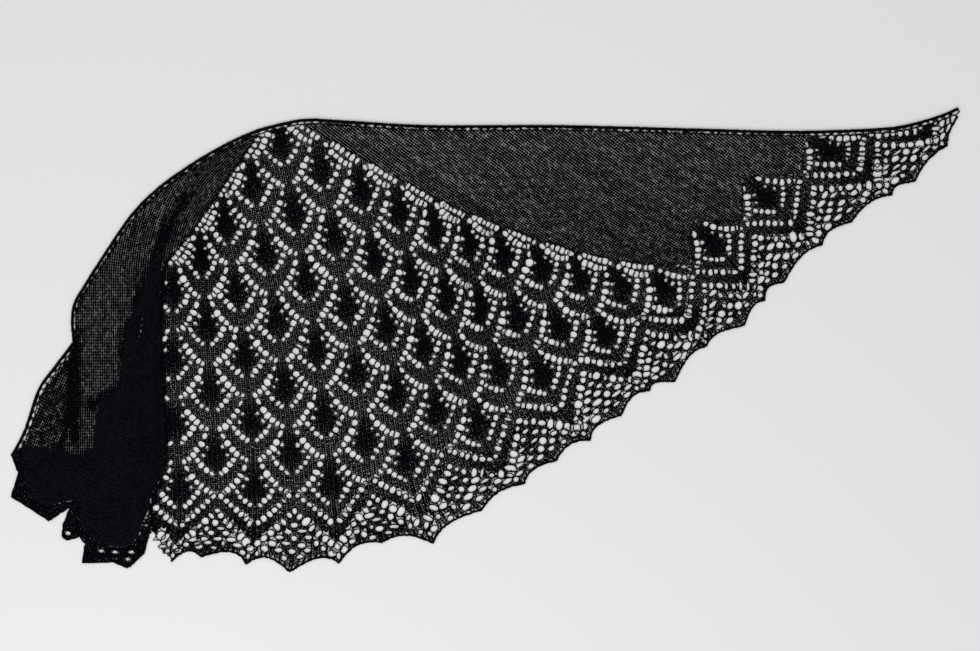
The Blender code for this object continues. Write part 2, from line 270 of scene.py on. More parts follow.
def zigzag(first, last, low_at_even, row):
    """A line along a row that steps by a whole row at every even wale."""
    wales = np.arange(first, last + 0.5)
    even = np.mod(wales, 2) == 0
    return place(wales, np.where(even, row + low_at_even, row))


def offset_line(points, distance):
    """The line moved sideways, to the left of its direction where distance is above 0."""
    points = np.asarray(points, float)
    ahead = np.gradient(points, axis=0)
    ahead /= np.linalg.norm(ahead, axis=1, keepdims=True)
    return points + distance * np.stack([-ahead[:, 1], ahead[:, 0]], axis=1)


def smoothed(points, each):
    """A smooth curve through a few points, with this many steps between two of them."""
    points = np.asarray(points, float)
    known = np.arange(len(points), dtype=float)
    at = np.linspace(0, len(points) - 1, (len(points) - 1) * each + 1)
    return np.stack([smooth_through(at, known, points[:, i]) for i in (0, 1)], axis=1)


def distance_to(points, line):
    """The distance from each point to a line of straight pieces."""
    points = np.asarray(points, float)[:, None, :]
    start, end = np.asarray(line, float)[:-1], np.asarray(line, float)[1:]
    along = end - start
    share = ((points - start) * along).sum(2) / (along**2).sum(1)
    nearest = start + np.clip(share, 0, 1)[..., None] * along
    return np.linalg.norm(points - nearest, axis=2).min(axis=1)


def inside(points, ring):
    """Which points lie inside a ring, by counting the sides that a ray crosses."""
    x, y = np.asarray(points, float).T
    found = np.zeros(len(x), bool)
    ring = np.asarray(ring, float)
    for (ax, ay), (bx, by) in zip(ring, np.roll(ring, -1, axis=0)):
        crosses = (ay > y) != (by > y)
        at = ax + (y - ay) * (bx - ax) / (by - ay if by != ay else 1.0)
        found ^= crosses & (x < at)
    return found


PANEL_TOP_ROW = -1.5
PANEL_FOOT_WALES = (-5, 11)
SQUARES_END_WALE = 16
LEFT_CUT_WALE = -4.0
CENTRE_END_WALE = 10.0
LATTICE_STEP = 0.1
LATTICE_OVERLAP = 0.05
SIDE_CORNER_EVERY = 4


def under_neck(points, neck):
    """Those points that lie below the middle of the neck edge's strip."""
    middle = offset_line(neck, EDGE_STRIP / 2)
    tip, end = middle[0], middle[-1]
    foot = points[:, 1].min() - EDGE_STRIP
    area = np.concatenate([middle, [(end[0], foot), (tip[0], foot)]])
    return points[inside(points, area)]


def outlines():
    """The ring of each stretch of cloth, the upper ones first."""
    neck = smoothed(NECK, 3)
    neck_inner = offset_line(neck, EDGE_STRIP)
    fold = smoothed(FOLD, 2)
    side = np.asarray(GATHER_SIDE, float)
    foot = np.asarray(HEAP_FOOT, float)
    rows = np.arange(PANEL_TOP_ROW, LAST_LEAF_ROW - LATTICE_STEP, LATTICE_STEP)
    right_side = under_neck(place(rows + PANEL_SPREAD, rows), neck)[::SIDE_CORNER_EVERY]
    left_rows = rows[rows < LEFT_SIDE_ROWS]
    left_side = under_neck(place(-left_rows - PANEL_SPREAD, left_rows), neck)[::SIDE_CORNER_EVERY]
    left_side = left_side[left_side[:, 0] > FOLD[1][0]]
    panel_foot = zigzag(*PANEL_FOOT_WALES, 1.0, LAST_LEAF_ROW + LATTICE_OVERLAP)
    wales = np.arange(LEFT_CUT_WALE, LAST_WALE + 0.01, LATTICE_STEP)
    hem = place(wales, hem_row(wales) + LATTICE_OVERLAP)
    tip_hem = hem[wales > CENTRE_END_WALE - LATTICE_OVERLAP]
    steps = zigzag(PANEL_FOOT_WALES[1], SQUARES_END_WALE, -1.0, LAST_LEAF_ROW - LATTICE_OVERLAP)
    apex = right_side[0, 0]
    over_wing = neck_inner[(neck_inner[:, 0] < steps[-1, 0]) & (neck_inner[:, 0] > apex)]
    over_tip = neck_inner[neck_inner[:, 0] > steps[-1, 0]][::-1]
    over_left = neck_inner[neck_inner[:, 0] < left_side[0, 0]]
    over_panel = neck_inner[(neck_inner[:, 0] < apex) & (neck_inner[:, 0] > left_side[0, 0])]
    beside_fold = fold[::-1][(fold[::-1, 1] > panel_foot[0, 1]) & (fold[::-1, 1] < left_side[-1, 1])]
    rings = {
        "neck_border": [neck, neck_inner[::-1]],
        "left_gather": [fold[:-2], foot[::-1][1:], side[::-1][1:-1]],
        "left_edging": [LEFT_HEM, fold[-2:][::-1][1:], foot[::-1]],
        "left_wing": [over_left, TURN, side[::-1][3:], FOLD[1:2], left_side[::-1]],
        "under_flap": [UNDER_EDGE, side[::-1][:3], TURN[::-1][1:-1]],
        "centre_panel": [right_side, panel_foot[::-1], beside_fold, left_side[::-1], over_panel[::-1]],
        "centre_edging": [LEFT_END, hem[wales < CENTRE_END_WALE + LATTICE_OVERLAP], panel_foot[:-1][::-1]],
        "wing_edging": [tip_hem[::-1], panel_foot[-2:], steps, over_tip],
        "right_wing": [over_wing, right_side, steps],
    }
    return {name: np.concatenate(parts) for name, parts in rings.items()}


rings = outlines()
ring_names = list(rings)


def cut_size(name, depth, share=1.0):
    """The flat length and depth, in metres, of a strip of the same area as a stretch of cloth."""
    x, y = rings[name].T
    area = abs((x * np.roll(y, -1) - y * np.roll(x, -1)).sum()) / 2 * share * MM**2
    return area / depth, depth


def owners(points):
    """The number of the stretch of cloth that each point belongs to, or -1 outside all of them."""
    found = np.full(len(points), -1)
    for number, name in enumerate(ring_names):
        found[(found < 0) & inside(points, rings[name])] = number
    return found


# The leaf lace's eyelets, charted as one small repeat. Each leaf has a long line of large
# eyelets down both its sides, a V of middling ones below it, and two small ones beside its stem.
# Distances are in stitches and rows from the leaf's middle, and radii in millimetres.
Eyelet = namedtuple("Eyelet", "stitches rows across along")
LEAF_LINE = tuple(Eyelet(*row) for row in (
    (1.9, -10.9, 3.9, 5.3), (2.8, -7.0, 5.6, 4.9), (3.7, -4.2, 5.5, 4.7),
    (4.6, -1.9, 5.3, 4.5), (5.6, 0.2, 5.1, 4.3), (6.6, 1.5, 4.4, 3.8),
))
LEAF_V = tuple(Eyelet(*row) for row in (
    (3.8, 1.1, 4.5, 4.4), (3.0, 3.7, 4.8, 4.5), (2.0, 6.0, 4.6, 4.3), (1.1, 8.0, 3.8, 3.7),
))
LEAF_STEM = tuple(Eyelet(*row) for row in ((1.65, -5.4, 3.1, 2.8), (2.5, -1.6, 3.0, 2.8)))
PANEL_SIDE_EYELETS = 6
PANEL_SIDE_START = (0.42, -0.65)
PANEL_SIDE_STEP = (0.125, 0.14)
PANEL_SIDE_SIZE = (4.8, 4.1)
WING_SQUARES = (12, 14, 16)


def leaf_series(wale, row):
    """The lines of eyelets of one leaf, each as rows of wale, row, across and along."""
    found = []
    for line in (LEAF_LINE, LEAF_V, LEAF_STEM):
        for side in (-1, 1):
            found.append([
                (wale + side * e.stitches / STITCHES_A_WALE, row + e.rows / ROWS_A_STEP, e.across, e.along)
                for e in line])
    return found


def panel_side_series(wale, row, side):
    """The line of eyelets that steps along one side of the panel, beside one leaf."""
    steps = range(PANEL_SIDE_EYELETS)
    return [
        (wale + side * (PANEL_SIDE_START[0] + PANEL_SIDE_STEP[0] * k),
         row + PANEL_SIDE_START[1] + PANEL_SIDE_STEP[1] * k) + PANEL_SIDE_SIZE
        for k in steps]


# The edging's eyelets. Under every odd wale two nested roofs of eyelets run down to the hem, and a
# net of round ones fills the space between the inner roof and the rounder point of the hem.
ROOF_EYELETS = 7
Roof = namedtuple("Roof", "start_wale start_row wale_step row_step")
OUTER_ROOF = Roof(0.12, 0.21, 0.13, 0.145)
OUTER_ROOF_SIZE = (5.0, 4.3)
INNER_ROOF = Roof(0.12, 0.83, 0.148, 0.175)
INNER_ROOF_SIZES = ((5.0, 4.5), (7.2, 5.6))
ROOF_TOP = (0.67, 5.0, 4.8)
NET_ROWS = 6
NET_START = 1.07
NET_STEP = (0.34, 0.19)
NET_SIZE = (4.0, 6.0)
POINT_IN = 0.27
POINT_SIZE = (5.6, 3.4)
HEM_CLEAR = 0.1


def edging_series(wale):
    """The lines of eyelets of the edging under one odd wale, each as rows of a chart."""
    found = []
    share = np.linspace(0, 1, ROOF_EYELETS)
    small, large = np.array(INNER_ROOF_SIZES)
    inner_sizes = small + share[:, None] * (large - small)
    outer_sizes = [OUTER_ROOF_SIZE] * ROOF_EYELETS
    for side in (-1, 1):
        for roof, sizes in ((OUTER_ROOF, outer_sizes), (INNER_ROOF, inner_sizes)):
            found.append([
                (wale + side * (roof.start_wale + roof.wale_step * k),
                 LAST_LEAF_ROW + roof.start_row + roof.row_step * k) + tuple(sizes[k])
                for k in range(ROOF_EYELETS)])
    found.append([(wale, LAST_LEAF_ROW + ROOF_TOP[0]) + ROOF_TOP[1:]])
    for r in range(NET_ROWS):
        row = LAST_LEAF_ROW + NET_START + NET_STEP[1] * r
        found.append([(wale + NET_STEP[0] * (c - r / 2), row) + NET_SIZE for c in range(r + 1)])
    found.append([(wale + 1, LAST_LEAF_ROW + HEM_ROWS - POINT_IN) + POINT_SIZE])
    return found


def all_series():
    """Every line of eyelets: the leaves, the panel's sides, the wing's squares and the edging."""
    found = []
    for row in range(-1, LAST_LEAF_ROW + 1):
        for wale in range(-row, row + 1, 2):
            found += leaf_series(wale, row)
        for side in (-1, 1):
            if row < LAST_LEAF_ROW:
                found.append(panel_side_series(side * row, row, side))
    for wale in WING_SQUARES:
        found += leaf_series(wale, LAST_LEAF_ROW)
    for wale in range(PANEL_FOOT_WALES[0], LAST_WALE + 1, 2):
        found += edging_series(wale)
    return found


EYELET_SPREAD = 0.14
EYELET_LIMITS = (0.55, 1.5)
EYELET_WANDER = 0.5
SINGLE_GROWTH = 0.05
FOLD_CLEAR = 5.5
NET_FROM = 0.95
NET_UNEVEN = 0.9


def eyelet_table():
    """Every eyelet: its middle, the ways its line and the cloth run, its sizes and its row."""
    chance = np.random.default_rng(7)
    middles, lines, aheads, sizes, rows = [], [], [], [], []
    for series in all_series():
        series = np.array(series, float)
        in_cloth = series[:, 1] < hem_row(series[:, 0]) - HEM_CLEAR
        series = series[in_cloth & (series[:, 0] < LAST_WALE - LATTICE_OVERLAP)]
        if not len(series):
            continue
        at = place(series[:, 0], series[:, 1])
        clear = distance_to(at, FOLD) > FOLD_CLEAR
        series, at = series[clear], at[clear]
        if not len(series):
            continue
        ahead = place(series[:, 0], series[:, 1] + SINGLE_GROWTH) - at
        ahead /= np.linalg.norm(ahead, axis=1, keepdims=True)
        sideways = np.stack([-ahead[:, 1], ahead[:, 0]], axis=1)
        line = np.gradient(at, axis=0) if len(at) > 1 else sideways
        line /= np.linalg.norm(line, axis=1, keepdims=True)
        in_net = (series[:, 1:2] > LAST_LEAF_ROW + NET_FROM) * NET_UNEVEN + 1
        spread = np.clip(1 + chance.normal(0, EYELET_SPREAD, (len(at), 2)) * in_net, *EYELET_LIMITS)
        middles.append(at + chance.normal(0, EYELET_WANDER, at.shape) * in_net)
        lines.append(line)
        aheads.append(ahead)
        sizes.append(series[:, 2:] * spread)
        rows.append(series[:, 1] * ROWS_A_STEP)
    stacked = [np.concatenate(part) for part in (middles, lines, aheads, sizes, rows)]
    return dict(zip(("middle", "line", "ahead", "size", "row"), stacked))


eyelets = eyelet_table()

# The yarn. Every knitted row is one strand that waves through the loops of the row before. Where
# an eyelet opens, the rows above it are pushed up and those below it down, and the strand is thin
# there. Where a leaf's decreases heap up, the loops lie over each other and the cloth is dense.
LOOP_STEPS = 5
LOOP_HEIGHT = 0.72
LOOP_LEAN = 0.09
LOOP_HEIGHT_SPREAD = 0.2
LOOP_WANDER = 0.08
YARN = 1.93
DENSE_YARN = 0.48
FOLD_YARN = 0.8
FOLD_REACH = 5.0
HEM_THIN = 0.12
HEM_THIN_ROWS = 0.45
NET_YARN = 0.1
NET_YARN_ROWS = (0.75, 0.3)
LEAF_REACH = (0.34, 0.48)
LEAF_MIDDLE = -0.15
THIN_BY_EYELET = 0.5
THIN_REACH = 2.4
CROSSES = 0.25
JUMPS = 0.8
EYELET_ROWS = 9
EYELET_NEAR = 12
EYELET_FAR = 3
WRONG_SIDE = 0.5
PUSHES = 3
PUSHED_TO = 0.98
CLOTH_MIDDLE = 0.75
CLOTH_LIFT = 0.3


def eased(share):
    """A share from 0 to 1 that starts and ends gently."""
    share = np.clip(share, 0, 1)
    return share * share * (3 - 2 * share)


def opened(points, row, table):
    """A row's points pushed out of the eyelets, how thin it is there, and what still crosses one."""
    low, high = points.min(axis=0) - EYELET_NEAR, points.max(axis=0) + EYELET_NEAR
    near = np.abs(table["row"] - row) < EYELET_ROWS
    near &= ((table["middle"] > low) & (table["middle"] < high)).all(axis=1)
    if not near.any():
        return points, np.ones(len(points)), np.zeros(len(points), bool)
    middle, line, ahead = table["middle"][near], table["line"][near], table["ahead"][near]
    across = np.stack([-line[:, 1], line[:, 0]], axis=1)
    size = table["size"][near]
    below = np.where(row > table["row"][near], 1.0, -1.0)

    def radii(away):
        return (away * across).sum(axis=2) / size[:, 0], (away * line).sum(axis=2) / size[:, 1]

    away = points[:, None, :] - middle
    grown = (away * ahead).sum(axis=2) * below
    sideways = np.abs(away[..., 0] * ahead[:, 1] - away[..., 1] * ahead[:, 0])
    wrong = np.maximum(WRONG_SIDE - grown, 0) * np.exp(-((sideways / size[:, 0]) ** 2))
    a, b = radii(away + (wrong * below)[..., None] * ahead)
    far = np.hypot(a, b)
    grow = np.sqrt(far**2 + np.exp(-(far**2))) / np.maximum(far, 1e-6) - 1
    grow[far > EYELET_FAR] = 0
    push = (a * grow * size[:, 0])[..., None] * across + (b * grow * size[:, 1])[..., None] * line
    points = points + push.sum(axis=1)
    for _ in range(PUSHES):
        away = points[:, None, :] - middle
        far = np.hypot(*radii(away))
        short = np.maximum(PUSHED_TO - far, 0) / np.maximum(far, 1e-3)
        points = points + (away * short[..., None]).sum(axis=1)
    gap = ((far - 1) * size.mean(axis=1)).min(axis=1)
    crossing = gap < -CROSSES
    half_way = (points[1:, None, :] + points[:-1, None, :]) / 2
    jumps = np.hypot(*radii(half_way - middle)).min(axis=1) < JUMPS
    crossing[:-1] |= jumps
    crossing[1:] |= jumps
    return points, THIN_BY_EYELET + (1 - THIN_BY_EYELET) * eased(gap / THIN_REACH), crossing


def leaf_density(wale, row):
    """1 in the middle of a leaf, falling to 0 away from it."""
    nearest = np.full(wale.shape, 9.0)
    for step in (-1, 0, 1):
        leaf_wale = np.round(wale) + step
        odd = np.mod(leaf_wale, 2)
        leaf_row = odd + 2 * np.round((row - LEAF_MIDDLE - odd) / 2)
        off_wale = (wale - leaf_wale) / LEAF_REACH[0]
        off_row = (row - leaf_row - LEAF_MIDDLE) / LEAF_REACH[1]
        off = off_wale**2 + off_row**2
        nearest = np.minimum(nearest, np.where(leaf_row <= LAST_LEAF_ROW, off, 9.0))
    return np.exp(-nearest)


SOFTENED = (0.3, 0.4, 0.3)


def softly(chance, amount, count):
    """A random offset for each point of a strand that changes softly from one to the next."""
    return np.convolve(chance.normal(0, amount, count), SOFTENED, "same")


def waved(stitches, chance, wander, spread):
    """How far along and how far up the strand is, through loops of uneven height."""
    count = len(stitches)
    whole = np.arange(np.floor(stitches[0]), np.ceil(stitches[-1]) + 1)
    height = LOOP_HEIGHT * (1 + spread * np.interp(stitches, whole, chance.normal(0, 1, len(whole))))
    along = stitches + LOOP_LEAN * np.sin(4 * math.pi * stitches) + softly(chance, wander, count)
    up = height * np.cos(2 * math.pi * stitches) + softly(chance, 1.2 * wander, count)
    lift = -CLOTH_LIFT * np.cos(4 * math.pi * stitches)
    return along, up, lift


FIRST_ROW = -12
LEFT_WALES = 5.0
TIP_FROM_ROWS = 1.1


def lace_row(number):
    """One row of the lace: its points, its strand's width and the cloth it belongs to."""
    chance = np.random.default_rng(500 + number)
    row = number / ROWS_A_STEP
    first = -min(row + PANEL_SPREAD, LEFT_WALES)
    last = row + PANEL_SPREAD
    if row > LAST_LEAF_ROW - TIP_FROM_ROWS:
        last = LAST_WALE - LATTICE_OVERLAP
    stitches = np.arange(round(first * STITCHES_A_WALE), last * STITCHES_A_WALE, 1 / LOOP_STEPS)
    along, up, lift = waved(stitches, chance, LOOP_WANDER, LOOP_HEIGHT_SPREAD)
    wale = along / STITCHES_A_WALE
    at_row = (number + up) / ROWS_A_STEP
    share = (hem_row(wale) - LAST_LEAF_ROW) / HEM_ROWS
    at_row = np.where(at_row > LAST_LEAF_ROW, LAST_LEAF_ROW + (at_row - LAST_LEAF_ROW) * share, at_row)
    points = place(wale, at_row)
    net = np.clip((at_row - LAST_LEAF_ROW - NET_YARN_ROWS[0]) / NET_YARN_ROWS[1], 0, 1)
    width = YARN * (1 + NET_YARN * net + DENSE_YARN * leaf_density(wale, at_row))
    width *= 1 + FOLD_YARN * np.exp(-((distance_to(points, FOLD) / FOLD_REACH) ** 2))
    width *= 1 - HEM_THIN * eased(1 + (at_row - hem_row(wale)) / HEM_THIN_ROWS)
    owner = owners(points)
    points, thin, crossing = opened(points, number, eyelets)
    owner[crossing] = -1
    height = CLOTH_MIDDLE + lift
    return np.column_stack([points, height]), width * thin, owner


def runs(owner, wanted):
    """The stretches of a strand that belong to one cloth, each with the point after its end."""
    mine = np.concatenate([[False], owner == wanted, [False]])
    starts = np.nonzero(mine[1:] & ~mine[:-1])[0]
    ends = np.nonzero(~mine[1:] & mine[:-1])[0]
    return [(a, min(b + 1, len(owner))) for a, b in zip(starts, ends) if b - a > 2]


Strand = namedtuple("Strand", "points width")
strands = {name: [] for name in ring_names}
for number in range(FIRST_ROW, round((LAST_LEAF_ROW + HEM_ROWS) * ROWS_A_STEP)):
    points, width, owner = lace_row(number)
    for name in ("centre_panel", "centre_edging", "wing_edging"):
        for a, b in runs(owner, ring_names.index(name)):
            strands[name].append(Strand(points[a:b], width[a:b]))


PANEL_RIM_YARN = 1.1
NET_RIM_YARN = 1.6
RIM_CORNERS = 7
RIM_UNEVEN = 0.38
RIM_LIFT = 0.1
LEAST_RIMMED = 2.6


def eyelet_rims(name, yarn):
    """The strand round every eyelet of one cloth: the made stitch and the loops that border it."""
    chance = np.random.default_rng(13)
    owner = owners(eyelets["middle"])
    mine = (owner == ring_names.index(name)) & (eyelets["size"].min(axis=1) > LEAST_RIMMED)
    found = []
    for middle, line, size in zip(*(eyelets[key][mine] for key in ("middle", "line", "size"))):
        turn = 2 * math.pi * np.arange(RIM_CORNERS + 1) / RIM_CORNERS + chance.uniform(0, 6)
        uneven = chance.normal(0, RIM_UNEVEN, RIM_CORNERS)
        reach = size[::-1] + np.append(uneven, uneven[0])[:, None]
        across = np.array((-line[1], line[0]))
        along, aside = reach[:, 0] * np.cos(turn), reach[:, 1] * np.sin(turn)
        points = middle + along[:, None] * line + aside[:, None] * across
        height = np.full(len(turn), CLOTH_MIDDLE + RIM_LIFT)
        found.append(Strand(np.column_stack([points, height]), np.full(len(turn), yarn)))
    return found


def yarn_tree():
    """Geometry Nodes that wind a flat-bottomed, closed thread round every strand."""
    tree = bpy.data.node_groups.new("yarn", "GeometryNodeTree")
    tree.interface.new_socket("Strands", in_out="INPUT", socket_type="NodeSocketGeometry")
    tree.interface.new_socket("Flatness", in_out="INPUT", socket_type="NodeSocketFloat")
    tree.interface.new_socket("Sides", in_out="INPUT", socket_type="NodeSocketInt")
    tree.interface.new_socket("Wool", in_out="INPUT", socket_type="NodeSocketMaterial")
    tree.interface.new_socket("Yarn", in_out="OUTPUT", socket_type="NodeSocketGeometry")

    def node(kind, **settings):
        made = tree.nodes.new(kind)
        for key, value in settings.items():
            setattr(made, key, value)
        return made

    start = node("NodeGroupInput")
    end = node("NodeGroupOutput")
    to_curve = node("GeometryNodeMeshToCurve")
    normal = node("GeometryNodeSetCurveNormal", mode="Z_UP")
    width = node("GeometryNodeInputNamedAttribute", data_type="FLOAT")
    width.inputs["Name"].default_value = "yarn_width"
    profile = node("GeometryNodeCurvePrimitiveCircle")
    profile.inputs["Radius"].default_value = 0.5
    squash = node("ShaderNodeCombineXYZ")
    squash.inputs["X"].default_value = 1.0
    squash.inputs["Y"].default_value = 1.0
    shape = node("GeometryNodeTransform")
    shape.inputs["Rotation"].default_value = (0.0, 0.0, math.pi / 2)
    wind = node("GeometryNodeCurveToMesh")
    wind.inputs["Fill Caps"].default_value = True
    smooth = node("GeometryNodeSetShadeSmooth")
    finish = node("GeometryNodeSetMaterial")
    realize = node("GeometryNodeRealizeInstances")
    link = tree.links.new
    link(start.outputs["Strands"], to_curve.inputs["Mesh"])
    link(to_curve.outputs["Curve"], normal.inputs["Curve"])
    link(normal.outputs["Curve"], wind.inputs["Curve"])
    link(width.outputs["Attribute"], wind.inputs["Scale"])
    link(start.outputs["Sides"], profile.inputs["Resolution"])
    link(start.outputs["Flatness"], squash.inputs["X"])
    link(squash.outputs["Vector"], shape.inputs["Scale"])
    link(profile.outputs["Curve"], shape.inputs["Geometry"])
    link(shape.outputs["Geometry"], wind.inputs["Profile Curve"])
    link(wind.outputs["Mesh"], smooth.inputs["Geometry"])
    link(smooth.outputs["Geometry"], realize.inputs["Geometry"])
    link(realize.outputs["Geometry"], finish.inputs["Geometry"])
    link(start.outputs["Wool"], finish.inputs["Material"])
    link(finish.outputs["Geometry"], end.inputs["Yarn"])
    return tree


yarn_nodes = yarn_tree()
TRIANGLE_SIDES = 3
TRIANGLE_WIDTH = math.sqrt(3) / 2


def wound(name, strand_list, wool, flatness=0.4):
    """A mesh of yarn round the strands, as one object that rides on the shawl's only body."""
    points = np.concatenate([strand.points for strand in strand_list]) * MM
    width = np.concatenate([strand.width for strand in strand_list]) * MM / TRIANGLE_WIDTH
    counts = [len(strand.points) for strand in strand_list]
    index = np.arange(len(points))
    last = np.cumsum(counts) - 1
    linked = np.delete(index, last)
    edges = np.stack([linked, linked + 1], axis=1)
    route = bpy.data.meshes.new(name + "_route")
    route.from_pydata(points.tolist(), edges.tolist(), [])
    route.attributes.new("yarn_width", "FLOAT", "POINT").data.foreach_set("value", width.astype(np.float32))
    carrier = bpy.data.objects.new(name + "_route", route)
    bpy.context.collection.objects.link(carrier)
    winding = carrier.modifiers.new("yarn", "NODES")
    winding.node_group = yarn_nodes
    inputs = {"Flatness": flatness, "Sides": TRIANGLE_SIDES, "Wool": wool}
    for item in yarn_nodes.interface.items_tree:
        if item.in_out == "INPUT" and item.name in inputs:
            winding[item.identifier] = inputs[item.name]
    graph = bpy.context.evaluated_depsgraph_get()
    mesh = bpy.data.meshes.new_from_object(carrier.evaluated_get(graph))
    carrier.modifiers.remove(winding)
    bpy.data.objects.remove(carrier)
    piece = bpy.data.objects.new(name, mesh)
    bpy.context.collection.objects.link(piece)
    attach(piece, "root")
    return piece


WOOL_DARK = (0.0003, 0.0003, 0.0005, 1.0)
WOOL_LIGHT = (0.0034, 0.0031, 0.0056, 1.0)
FIBRE_SIZE = 0.6 * MM
BATCH_SIZE = 40 * MM
WOOL_FUZZ = 0.006
WOOL_GLOSS = 0.02
WOOL_BUMP = 0.3 * MM


def wool_finish(name, light=WOOL_LIGHT, fibre=FIBRE_SIZE, contrast=1.0):
    """Matt black wool: a random speckle of lighter fibre, which at a raised contrast is painted highlight,
    and slow changes of depth.
    """
    wool = Shader(name)
    place_in_cloth = wool.node("ShaderNodeTexCoord", output=3)

    def noise(size, detail):
        values = {"Vector": place_in_cloth, "Scale": 1 / size, "Detail": detail}
        return wool.node("ShaderNodeTexNoise", values=values)

    fibre_and_glint_noise = noise(fibre, 3.0)
    batches = noise(BATCH_SIZE, 2.0)
    # The colour speckle is the wool's own random fibre tone; where the contrast is raised, as on the
    # gathers, it is also painted highlight and painted shade.
    blend = (fibre_and_glint_noise - 0.5) * contrast + 0.35 + batches * 0.3
    colour = wool.node(
        "ShaderNodeMix", {"data_type": "RGBA"}, {"Factor": blend, 6: WOOL_DARK, 7: light}, output=2)
    wool.feed("Base Color", colour)
    wool.feed("Roughness", 0.8 + fibre_and_glint_noise * 0.2)
    bump = wool.node("ShaderNodeBump", values={"Height": fibre_and_glint_noise, "Strength": 0.6, "Distance": WOOL_BUMP})
    wool.feed("Normal", bump)
    wool.principled.inputs["Sheen Weight"].default_value = WOOL_FUZZ
    wool.principled.inputs["Sheen Roughness"].default_value = 0.5
    wool.principled.inputs["Sheen Tint"].default_value = (0.5, 0.5, 0.55, 1.0)
    wool.principled.inputs["Specular IOR Level"].default_value = WOOL_GLOSS
    return wool.material


PANEL_SHEET_DEPTHS = (("upper", 0.26), ("middle", 0.12), ("lower", 0.10))
panel_wool = wool_finish("panel_wool")
panel_rows = strands["centre_panel"]
panel_rims = wound("panel_eyelets", eyelet_rims("centre_panel", PANEL_RIM_YARN), panel_wool)
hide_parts("centre_panel")
count = sum(len(strand.points) for strand in panel_rows)
reached = np.cumsum([len(strand.points) for strand in panel_rows]) / count
for number, (part, depth) in enumerate(PANEL_SHEET_DEPTHS):
    mine = [strand for strand, at in zip(panel_rows, reached) if number / 3 < at <= (number + 1) / 3]
    piece = wound("panel_" + part, mine, panel_wool)
    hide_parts("centre_panel")
    cut_size("centre_panel", depth, 1 / 3)

# The edging. Under the panel and along the right wing the same rows run on as an open net, down to
# pulled points at the hem. A smooth cast-off cord closes it, and blocking pins drew out the points.
edging_wool = wool_finish("edging_wool")
CAST_OFF_STEP = 1.3 / 45
CAST_OFF_YARN = 3.2
CAST_OFF_WANDER = 0.25
CAST_OFF_LIFT = 0.1
CAST_OFF_UNEVEN = 0.12


def hem_cord(first, last):
    """The cast-off cord along the hem, from one wale to another."""
    chance = np.random.default_rng(31)
    wales = np.arange(first, last, CAST_OFF_STEP)
    points = place(wales, hem_row(wales)) + chance.normal(0, CAST_OFF_WANDER, (len(wales), 2))
    height = CLOTH_MIDDLE + chance.normal(0, CAST_OFF_LIFT, len(wales))
    width = CAST_OFF_YARN * chance.normal(1, CAST_OFF_UNEVEN, len(wales))
    return Strand(np.column_stack([points, height]), width)


strands["centre_edging"].append(hem_cord(LEFT_CUT_WALE, CENTRE_END_WALE))
strands["wing_edging"].append(hem_cord(CENTRE_END_WALE, LAST_WALE))
strands["centre_edging"] += eyelet_rims("centre_edging", NET_RIM_YARN)
strands["wing_edging"] += eyelet_rims("wing_edging", NET_RIM_YARN)
EDGING_DEPTH = 0.085
for name, slot in (("centre_edging", "edging"), ("wing_edging", "tip")):
    piece = wound(name + "_rows", strands[name], edging_wool)
    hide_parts(name)
    cut_size(name, EDGING_DEPTH)

# The right wing. It is plain stocking stitch in fine wool, knitted in the same rows as the panel,
# and thin enough for the pale surface to show between its stitches. Its wales turn as they go down.
WING_TOP = 302.0
WING_DEPTH = 290.0
WING_WALE = 11.7
WING_ROW = 4.6
WING_SLANTS = ((0.0, 37.0), (60.0, 36.0), (140.0, 32.0), (230.0, 31.0))
WING_NUMBERS = range(-55, 200)

# One plain loop: how far along its stitch, how far up, and how thick the yarn is there.
PLAIN_LOOP = np.array((
    (0.0, 1.0, 0.45),
    (0.2, 0.62, 1.0),
    (0.3, -0.62, 1.0),
    (0.5, -1.0, 0.45),
    (0.7, -0.62, 1.0),
    (0.8, 0.62, 1.0),
))
PLAIN_YARN = 2.48
PLAIN_UNEVEN = 0.065
PLAIN_LOOSE_EVERY = 3
PLAIN_SLACK = (0.05, 0.5)
PLAIN_WALE_UNEVEN = 0.03
PLAIN_WANDER = 0.02

wale_evenness = np.random.default_rng(23).normal(0, PLAIN_WALE_UNEVEN, 97)
wing_depths = np.linspace(0, WING_DEPTH, 300)
wing_slant = np.radians(np.interp(wing_depths, *np.array(WING_SLANTS).T))
depth_step = wing_depths[1] - wing_depths[0]
wale_drift = np.cumsum(1 / np.tan(wing_slant)) * depth_step
row_drift = np.cumsum(np.tan(wing_slant)) * depth_step


def wing_place(stitch, row):
    """The point of a stitch and a row in the right wing, in millimetres."""
    start = stitch * WING_WALE
    depth = np.interp(row * WING_ROW - start, wale_drift + row_drift, wing_depths)
    return np.stack([start + np.interp(depth, wing_depths, wale_drift), WING_TOP - depth], axis=-1)


def plain_row(number, first, last, laid, yarn=PLAIN_YARN):
    """One row of stocking stitch, where laid() gives the place of a stitch and a row."""
    chance = np.random.default_rng(9000 + number)
    count = last - first
    stitches = (np.arange(first, last)[:, None] + PLAIN_LOOP[:, 0]).ravel()
    along = stitches + softly(chance, PLAIN_WANDER, len(stitches))
    up = LOOP_HEIGHT * np.tile(PLAIN_LOOP[:, 1], count) + softly(chance, PLAIN_WANDER, len(stitches))
    lift = -CLOTH_LIFT * np.cos(4 * math.pi * stitches)
    legs = np.arange(2 * first, 2 * last + 1)
    each = chance.normal(1.0, PLAIN_UNEVEN, len(legs))
    loose = np.arange(0, len(legs) - PLAIN_LOOSE_EVERY, PLAIN_LOOSE_EVERY)
    loose += chance.integers(0, PLAIN_LOOSE_EVERY, len(loose))
    each[loose] -= chance.uniform(*PLAIN_SLACK, len(loose))
    each += wale_evenness[legs % len(wale_evenness)]
    width = yarn * np.interp(stitches, legs / 2 + 0.25, each) * np.tile(PLAIN_LOOP[:, 2], count)
    points = laid(along, number + up)
    return np.column_stack([points, CLOTH_MIDDLE + lift]), width


